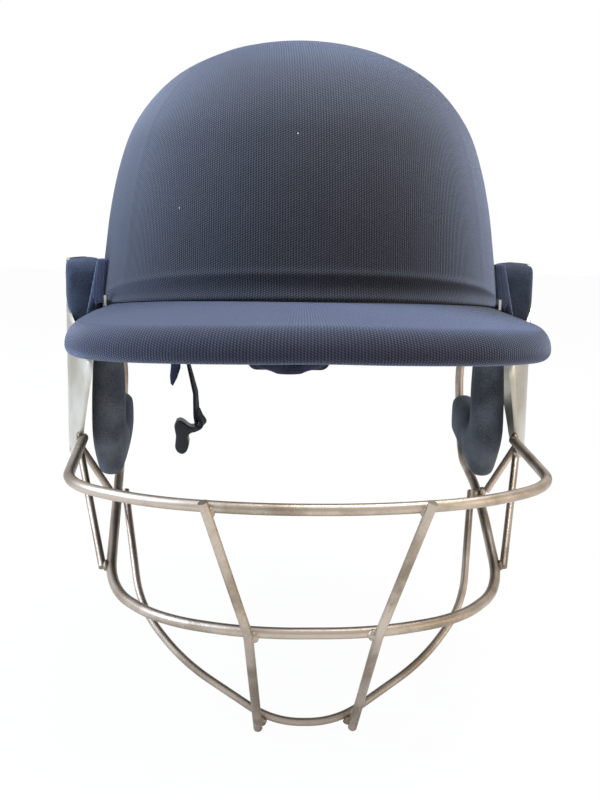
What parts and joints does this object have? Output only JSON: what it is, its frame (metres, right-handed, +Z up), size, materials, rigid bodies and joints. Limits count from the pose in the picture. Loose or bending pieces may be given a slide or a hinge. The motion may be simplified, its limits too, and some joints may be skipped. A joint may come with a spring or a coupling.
{
  "type": "cricket helmet",
  "caption": "Cloth-covered batting helmet with a padded peak, ear plates, ear pads and a fixed wire face grille; nape adjuster and hanging chin strap.",
  "frame": {"origin": "middle of the head opening, at about the level of the brow seam", "axes": "+Z up, -Y out of the face, +X to the wearer's left"},
  "size_m": [0.2368, 0.3192, 0.3107],
  "materials": {
    "knit": "navy ribbed knit, matt with a soft sheen",
    "shell": "black moulded shell, matt",
    "foam": "black closed-cell foam, light and matt",
    "comfort": "dark padded cloth",
    "edging": "soft black edging",
    "plate": "satin sheet metal, formed and finely scratched",
    "charcoal": "charcoal cloth over foam",
    "wire": "satin drawn wire with dull welds",
    "screw": "bright plated",
    "adjuster": "dark navy moulding, matt",
    "dial": "black moulding with knurls",
    "webbing": "nearly black woven strap",
    "buckle": "black moulding, slightly glossy",
    "tab": "navy tape, cut to a point"
  },
  "bodies": {
    "helmet": {"shell_cover": "knit", "shell": "shell", "foam_liner": "foam", "crown_pad": "comfort", "front_pad": "comfort", "side_pad_left": "comfort", "side_pad_right": "comfort", "rear_pad": "comfort", "rim_edging": "edging", "peak": "knit", "side_flap_left": "knit", "side_flap_right": "knit", "ear_plate_left": "plate", "ear_plate_right": "plate", "temple_pad_left": "charcoal", "temple_pad_right": "charcoal", "ear_pad_left": "charcoal", "ear_pad_right": "charcoal", "grille_top_bar": "wire", "grille_middle_bar": "wire", "grille_chin_bar": "wire", "grille_upright_left": "wire", "grille_upright_right": "wire", "grille_strut_left": "wire", "grille_strut_right": "wire", "grille_brace_left": "wire", "grille_brace_right": "wire", "plate_screws": "screw", "plate_nuts": "screw", "wire_screws": "screw", "wire_nuts": "screw", "peak_clip_left": "screw", "peak_clip_right": "screw", "nape_housing": "adjuster", "nape_housing_cover": "adjuster", "nape_pad": "comfort", "strap_anchor_left": "adjuster", "strap_anchor_right": "adjuster", "strap_tab": "tab"},
    "nape_dial": {"nape_dial": "dial", "nape_pinion": "adjuster"},
    "nape_band_left": {"nape_band_left": "adjuster"},
    "nape_band_right": {"nape_band_right": "adjuster"},
    "strap_long": {"chin_strap_long": "webbing"},
    "strap_end": {"strap_end_piece": "buckle"},
    "strap_short": {"chin_strap_short": "webbing", "strap_receiver": "buckle"}
  },
  "joints": [
    {"name": "nape_dial_turn", "type": "hinge", "parent": "helmet", "child": "nape_dial", "pos_m": [0, 0.12, -0.046], "axis": [0, 1, 0], "range_deg": [-90, 90]},
    {"name": "nape_band_left_slide", "type": "slide", "parent": "helmet", "child": "nape_band_left", "axis": [1, 0, 0], "range_m": [-0.0064, 0.0064]},
    {"name": "nape_band_right_slide", "type": "slide", "parent": "helmet", "child": "nape_band_right", "axis": [-1, 0, 0], "range_m": [-0.0064, 0.0064]},
    {"name": "chin_strap_swing", "type": "hinge", "parent": "helmet", "child": "strap_long", "pos_m": [-0.062, 0.085, -0.0373], "axis": [0, 1, 0], "range_deg": [-12, 16]},
    {"name": "strap_end_swing", "type": "hinge", "parent": "strap_long", "child": "strap_end", "pos_m": [-0.0545, 0.085, -0.0865], "axis": [0, 1, 0], "range_deg": [-15, 40]},
    {"name": "strap_short_swing", "type": "hinge", "parent": "helmet", "child": "strap_short", "pos_m": [0.062, 0.085, -0.0373], "axis": [0, 1, 0], "range_deg": [-30, 30]}
  ],
  "couplings": [
    {"joint": "nape_band_left_slide", "follows": "nape_dial_turn", "m_per_rad": 0.004},
    {"joint": "nape_band_right_slide", "follows": "nape_dial_turn", "m_per_rad": 0.004}
  ]
}
